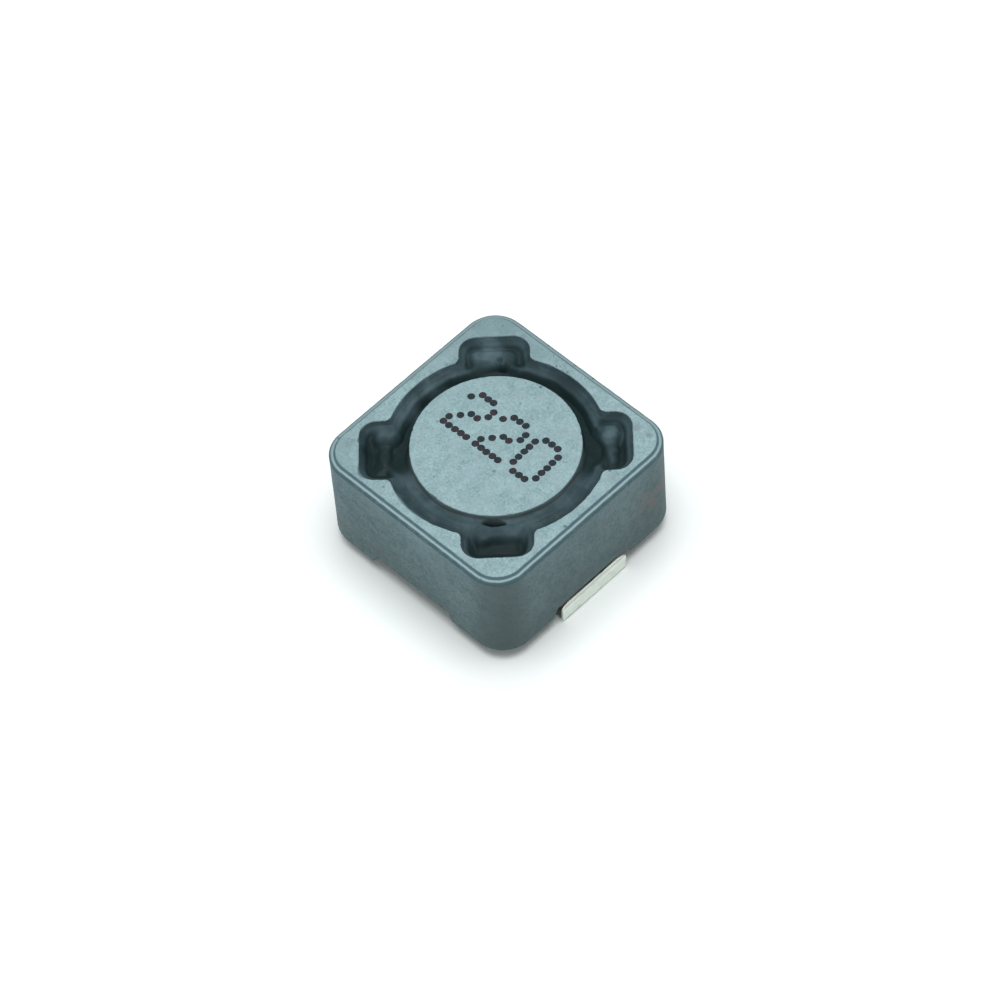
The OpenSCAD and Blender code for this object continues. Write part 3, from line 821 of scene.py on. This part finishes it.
def polar(r, a, z):
    """Points at radius r, angle a and height z."""
    return np.stack(np.broadcast_arrays(r * np.cos(a), r * np.sin(a), z), -1)


def bend(corner, d0, d1, r, count=12):
    """A quarter-round turn of radius r from direction d0 to direction d1, round the corner point."""
    a = np.linspace(0, math.pi / 2, count)[:, None]
    return corner - r * d0 + r * np.sin(a) * d0 + r * (1 - np.cos(a)) * d1


def pad_route():
    """Along the pad, round towards the pocket and up into it."""
    foot = polar(LEAD_R, POCKET_ANGLE, PAD_LEAD_Z)
    turn = np.array([PAD_LEAD_X, PAD_LEAD_TURN, PAD_LEAD_Z])
    way = (foot - turn) / np.linalg.norm(foot - turn)
    ahead = np.array([0, 1, 0])
    t = np.linspace(0, 1, 7)[:, None]
    start, end = turn + 0.3 * ahead, turn + 0.3 * way
    curve = (1 - t) ** 2 * start + 2 * t * (1 - t) * turn + t * t * end
    first = np.array([[PAD_LEAD_X, PAD_LEAD_END, PAD_LEAD_Z]])
    return np.vstack([first, curve, bend(foot, way, np.array([0, 0, 1]), LEAD_BEND)])


def notch_route():
    """From the pocket in through the flange's notch, curving and rising into the first layer."""
    out, across = polar(1, POCKET_ANGLE, 0), polar(1, POCKET_ANGLE + math.pi / 2, 0)
    top = LEAD_R * out + [0, 0, NOTCH_LEAD_Z]
    reach = math.sqrt((FIRST_R + ENTRY_BEND) ** 2 - ENTRY_BEND ** 2)
    a = np.linspace(0, math.atan2(reach, ENTRY_BEND), 14)[:, None]
    rise = np.linspace(0, math.pi, 14)[:, None]
    z = NOTCH_LEAD_Z + (COIL_LOW - NOTCH_LEAD_Z) * (1 - np.cos(rise)) / 2
    curve = (reach - ENTRY_BEND * np.sin(a)) * out + ENTRY_BEND * (1 - np.cos(a)) * across + z * [0, 0, 1]
    return np.vstack([bend(top, np.array([0, 0, 1]), -out, LEAD_BEND), curve])


def coil_route():
    """Layers of even turns, up and down in turn, each a wire's width further out, with a sixth of a turn
    to climb from one layer to the next; then straight off the last turn and down the far pocket."""
    entry = POCKET_ANGLE + math.asin(ENTRY_BEND / (FIRST_R + ENTRY_BEND))
    leave = POCKET_ANGLE + math.pi - math.acos(LAST_R / LEAD_R)
    shift = math.pi / 3
    sweep = (TURNS * 2 * math.pi + leave - entry - (LAYERS - 1) * shift) / LAYERS
    s = np.arange(math.radians(5), LAYERS * (sweep + shift) - shift, math.radians(7))
    layer = np.minimum(np.floor(s / (sweep + shift)), LAYERS - 1)
    q = s - layer * (sweep + shift)
    climb = np.minimum(q / sweep, 1)
    climb = np.where(layer % 2 == 0, climb, 1 - climb)
    r = FIRST_R + LAYER_STEP * (layer + np.maximum(q - sweep, 0) / shift)
    turns = polar(r, entry + s, COIL_LOW + (COIL_HIGH - COIL_LOW) * climb)
    start = polar(LAST_R, leave, COIL_LOW)
    end = polar(LEAD_R, POCKET_ANGLE + math.pi, COIL_LOW)
    way = (end - start) / np.linalg.norm(end - start)
    return np.vstack([turns, start[None], bend(end, way, np.array([0, 0, -1]), LEAD_BEND)])


def tube(path, radius, sides):
    """A round tube along a path, closed by a point at each end. Its cross directions are carried along
    by removing from the last one what lies along the new tangent."""
    tangent = np.gradient(path, axis=0)
    tangent /= np.linalg.norm(tangent, axis=1)[:, None]
    across = np.empty_like(path)
    last = np.array([0.0, 0.0, 1.0])
    for i, t in enumerate(tangent):
        last = last - t * last.dot(t)
        last /= np.linalg.norm(last)
        across[i] = last
    up = np.cross(tangent, across)
    a = np.arange(sides) * 2 * math.pi / sides
    rings = path[:, None] + radius * (np.cos(a)[:, None] * across[:, None] + np.sin(a)[:, None] * up[:, None])
    n = len(path)
    poles = np.array([path[0] - 0.4 * radius * tangent[0], path[-1] + 0.4 * radius * tangent[-1]])
    return np.vstack([rings.reshape(-1, 3), poles]), capped(n, sides)


def winding():
    """A tube along the pad's route, the notch's and the coil's, and then the pad's route turned half
    round and taken backwards."""
    pad = pad_route()
    path = np.vstack([pad, notch_route(), coil_route(), pad[::-1] * [-1, -1, 1]])
    points, faces = tube(path, WIRE_R, 14)
    piece("winding_wire", points, faces, copper_wire, "copper_wire", ["winding"])


winding()

# ---- the terminals, their solder and their adhesive ----


def strip_path():
    """Middle line of the folded strip in X and Z, from the pad's inner end round both folds to the
    tongue's tip, with the direction that its outer face looks in, and how far round the upper fold."""
    r = FOLD_R - STRIP_T / 2
    x, z = clip_high[0] - FOLD_R, clip_high[2]
    tip = bond_low[0] - 0.05
    leaf = straight(np.array([clip_low[0], STRIP_T / 2]), np.array([x, STRIP_T / 2]), np.array([0, -1]), 16)
    low = arc(np.array([x, FOLD_R]), r, -math.pi / 2, 0, 10)
    web = straight(np.array([x + r, FOLD_R]), np.array([x + r, z - FOLD_R]), np.array([1, 0]), 10)
    high = arc(np.array([x, z - FOLD_R]), r, 0, math.pi / 2, 14)
    tongue = straight(np.array([x, z - STRIP_T / 2]), np.array([tip, z - STRIP_T / 2]), np.array([0, 1]), 12)
    parts = [leaf, low, web, high, tongue]
    end = np.array([[tip, z - STRIP_T / 2]])
    line = np.vstack([*(p[0] for p in parts), end])
    out = np.vstack([*(p[1] for p in parts), [[0, 1]]])
    folded = np.concatenate([np.zeros(36), np.linspace(0, 1, 15), np.ones(12)])
    return line, out, folded


def rounded_bar(thick, count_wide, round_r):
    """Outline of a strip's section as (share of the half width, offset through the thickness): flat
    faces above and below, and quarter rounds at the edges."""
    wide = np.linspace(-1, 1, count_wide)
    a = np.linspace(0, math.pi / 2, 4)
    h = thick / 2
    flats = [(t, h, 0.0) for t in wide]
    right = [(1, h - round_r + round_r * math.cos(k), round_r * math.sin(k)) for k in a[1:]]
    right += [(1, -(h - round_r + round_r * math.cos(k)), round_r * math.sin(k)) for k in a[::-1][:-1]]
    lower = [(t, -h, 0.0) for t in wide[::-1]]
    left = [(-t, -o, w) for t, o, w in right]
    return np.array(flats + right + lower + left)


def strip_terminal(sign):
    """The section carried along the folded line. The strip keeps its full width to the middle of the
    upper fold, rounds off, and goes on as the narrower tongue."""
    line, out, folded = strip_path()
    edge_r = 0.035
    full, narrow = clip_high[1] - edge_r, bond_high[1] + 0.05 - edge_r
    half_width = mix(full, narrow, 1 - np.sqrt(1 - step(folded, 0.35, 0.95) ** 2))
    half_width[:4] -= 0.16 * (1 - np.sqrt(1 - np.array([1, 0.66, 0.36, 0.12]) ** 2))
    bar = rounded_bar(STRIP_T, 30, edge_r)
    y = bar[None, :, 0] * half_width[:, None] + np.sign(bar[None, :, 0]) * bar[None, :, 2]
    offset = np.broadcast_to(bar[None, :, 1], y.shape)
    x = line[:, 0:1] + out[:, 0:1] * offset
    z = line[:, 1:2] + out[:, 1:2] * offset
    points = np.stack([x, y, z], -1)
    points = points - with_side(out, 0.008 * (1 + cloud(points, 0.9, 81)))
    points[..., :2] *= sign
    n, m = points.shape[:2]
    flat = points.reshape(-1, 3)
    middle = [points[0].mean(0), points[-1].mean(0)]
    return np.vstack([flat, middle]), capped(n, m)


def with_side(out, amount):
    """The strip's outward direction in X and Z, times an amount at each point."""
    way = np.stack([out[:, 0], 0 * out[:, 0], out[:, 1]], -1)[:, None]
    return way * amount[..., None]


def solder_joint(sign):
    """A dome on a long rounded outline: height falls as a power of one minus the squared distance from
    the middle, so it meets the pad in a thin wetted edge; its underside lies flat on the pad."""
    low, high = joint_low, joint_high
    middle, half = (low + high) / 2, (high - low) / 2
    a = np.arange(96) * 2 * math.pi / 96
    rho = np.linspace(1, 0, 22)[:-1]
    c, s = np.cos(a), np.sin(a)
    outline = np.stack([half[0] * np.sign(c) * np.abs(c) ** 0.8, half[1] * np.sign(s) * np.abs(s) ** 0.6], -1)
    plan = middle[:2] + rho[:, None, None] * outline
    height = (high[2] - low[2]) * (1 - rho[:, None] ** 2) ** 0.8 + 0.02 * cloud(with_z(plan, 0.0), 0.4, 91)
    dome = with_z(plan, low[2] + np.maximum(height, 0.004))
    base = with_z(plan[:1], low[2])
    points = np.concatenate([base, dome])
    points[..., :2] *= sign
    n, m = points.shape[:2]
    x, y = middle[:2] * sign
    crown = np.array([[x, y, high[2] - 0.01], [x, y, low[2]]])
    faces = [grid_faces(n, m, False, True),
             np.vstack([fan(n * m, np.arange(m) + (n - 1) * m), fan(n * m + 1, np.arange(m), True)])]
    return np.vstack([points.reshape(-1, 3), crown]), faces


def adhesive_bead(sign):
    """A flat bar of adhesive with round edges, uneven where it squeezes out in front of the bond."""
    low, high = bond_low, bond_high
    a = np.arange(40) * 2 * math.pi / 40
    y = np.linspace(low[1], high[1], 60)
    c, s = np.cos(a), np.sin(a)
    half = (high - low) / 2
    swell = 1 - np.abs(np.linspace(-1, 1, 60)) ** 14 * 0.4
    x = (low[0] + high[0]) / 2 + half[0] * swell[:, None] * np.sign(c) * np.abs(c) ** 0.25
    z = (low[2] + high[2]) / 2 + half[2] * np.sign(s) * np.abs(s) ** 0.25
    points = np.stack(np.broadcast_arrays(x, y[:, None], z), -1)
    squeeze = 0.03 * cloud(points, 0.35, 95) * step(points[..., 0], high[0] - 0.3, high[0])
    points[..., 0] += squeeze
    points[..., :2] *= sign
    n, m = points.shape[:2]
    middle = [points[0].mean(0), points[-1].mean(0)]
    return np.vstack([points.reshape(-1, 3), middle]), capped(n, m)


for side, sign in (("start", 1), ("finish", -1)):
    piece(side + "_terminal_strip", *strip_terminal(sign), tinned_strip, "tinned_strip", [side + "_terminal"])
    piece(side + "_solder_joint", *solder_joint(sign), solder_metal, "solder", [side + "_solder"])
    piece(side + "_adhesive_bead", *adhesive_bead(sign), dark_epoxy, "dark_epoxy", [side + "_adhesive"])

# ---- the printed number ----

DIGITS = {2: ("01110", "10001", "00001", "00110", "01000", "10000", "11111"),
          0: ("01110", "10001", "10001", "10001", "10001", "10001", "01110")}
MARK = (2, 2, 0)
DOT_R = 0.186
DOT_PITCH = 0.36
ROW_PITCH = 0.38
DIGIT_PITCH = 2.03
MARK_AT = (-0.06, 0.57)
MARK_TILT = math.radians(1.5)


def value_mark():
    """One splash of ink for each dot of the digits: a low dome whose outline is a circle with a slow
    ripple, nudged a little out of line."""
    places = []
    for i, digit in enumerate(MARK):
        for row, bits in enumerate(DIGITS[digit]):
            for column, bit in enumerate(bits):
                if bit == "1":
                    places.append(((i - 1) * DIGIT_PITCH + (column - 2) * DOT_PITCH, (3 - row) * ROW_PITCH))
    places = np.array(places)
    turn = np.array([[math.cos(MARK_TILT), math.sin(MARK_TILT)], [-math.sin(MARK_TILT), math.cos(MARK_TILT)]])
    places = places @ turn + MARK_AT
    seed = with_z(places, 0.0)
    places = places + 0.022 * np.stack([cloud(seed * 3.1, 0.5, 1), cloud(seed * 3.1, 0.5, 2)], -1)
    a = np.arange(28) * 2 * math.pi / 28
    around = np.stack([np.cos(a), np.sin(a)], -1)
    rho = np.array([1.0, 0.96, 0.8, 0.45])
    lift = np.array([0.0, 0.006, 0.009, 0.0105])
    points, faces, start = [], [], 0
    for x, y in places:
        edge = np.array([x, y]) + DOT_R * around
        ripple = 1 + 0.05 * cloud(with_z(edge, 0.0), 0.12, 7)[:, None]
        plan = np.array([x, y]) + DOT_R * rho[:, None, None] * (around * ripple)
        dome = with_z(plan, TOP + 0.0005 + lift[:, None])
        n, m = dome.shape[:2]
        points += [dome.reshape(-1, 3), [[x, y, TOP + 0.0115], [x, y, TOP + 0.0005]]]
        faces += [grid_faces(n, m, False, True, start),
                  fan(start + n * m, np.arange(m) + (n - 1) * m + start),
                  fan(start + n * m + 1, np.arange(m) + start, True)]
        start += n * m + 2
    piece("value_dots", np.vstack(points), faces, print_ink, "ink", ["value_mark"])


value_mark()

# ---- floor, light and camera ----


def floor():
    """A plain white floor, 1.2 m wide, a little short of red so that its shadows are pale cyan."""
    half = 0.6
    mesh = bpy.data.meshes.new("floor")
    corners = [(-half, -half, 0), (half, -half, 0), (half, half, 0), (-half, half, 0)]
    mesh.from_pydata(corners, [], [(0, 1, 2, 3)])
    plate = bpy.data.objects.new("floor", mesh)
    bpy.context.scene.collection.objects.link(plate)
    f = Finish("floor_white")
    mesh.materials.append(f.finish(Base_Color=(0.94, 0.985, 0.982), Roughness=0.9, Specular_IOR_Level=0.0))


def sky(strength):
    """An even pale sky, which the camera sees as white."""
    world = bpy.data.worlds.new("studio")
    bpy.context.scene.world = world
    world.use_nodes = True
    tree = world.node_tree
    back = tree.nodes["Background"]
    path = tree.nodes.new("ShaderNodeLightPath")
    level = tree.nodes.new("ShaderNodeMapRange")
    level.inputs["To Min"].default_value = strength
    tree.links.new(path.outputs["Is Camera Ray"], level.inputs["Value"])
    tree.links.new(level.outputs[0], back.inputs["Strength"])
    back.inputs["Color"].default_value = (1, 1, 1, 1)


def softbox(name, at, size, watts):
    """A square area light at a place, in metres, aimed at the part."""
    light = bpy.data.lights.new(name, "AREA")
    light.shape, light.size, light.energy = "SQUARE", size, watts
    lamp = bpy.data.objects.new(name, light)
    lamp.location = at
    lamp.rotation_mode = "QUATERNION"
    lamp.rotation_quaternion = Vector(at).to_track_quat("Z", "Y")
    bpy.context.scene.collection.objects.link(lamp)


def camera():
    """A long lens from above the corner between the start terminal and the side to its left, rolled a
    little; the direction back to it comes from its azimuth and elevation."""
    azimuth, elevation, roll = math.radians(48.21), math.radians(54.125), math.radians(-4.966)
    distance, aim = 0.23379, Vector((-1.106, 0.955, -0.1)) * MM
    back = Vector((math.sin(azimuth) * math.cos(elevation), -math.cos(azimuth) * math.cos(elevation),
                   math.sin(elevation)))
    right = Vector((math.cos(azimuth), math.sin(azimuth), 0))
    up = back.cross(right)
    across = right * math.cos(roll) + up * math.sin(roll)
    upward = up * math.cos(roll) - right * math.sin(roll)
    data = bpy.data.cameras.new("camera")
    data.sensor_width, data.lens = 36, 176.37
    data.clip_start, data.clip_end = 0.01, 5
    cam = bpy.data.objects.new("camera", data)
    cam.matrix_world = Matrix((across, upward, back)).transposed().to_4x4()
    cam.location = aim + back * distance
    bpy.context.scene.collection.objects.link(cam)
    bpy.context.scene.camera = cam


floor()
sky(0.46)
softbox("top_softbox", (0.004, 0.0, 0.40), 0.28, 1.32)
camera()
bpy.context.scene.view_settings.view_transform = "Standard"
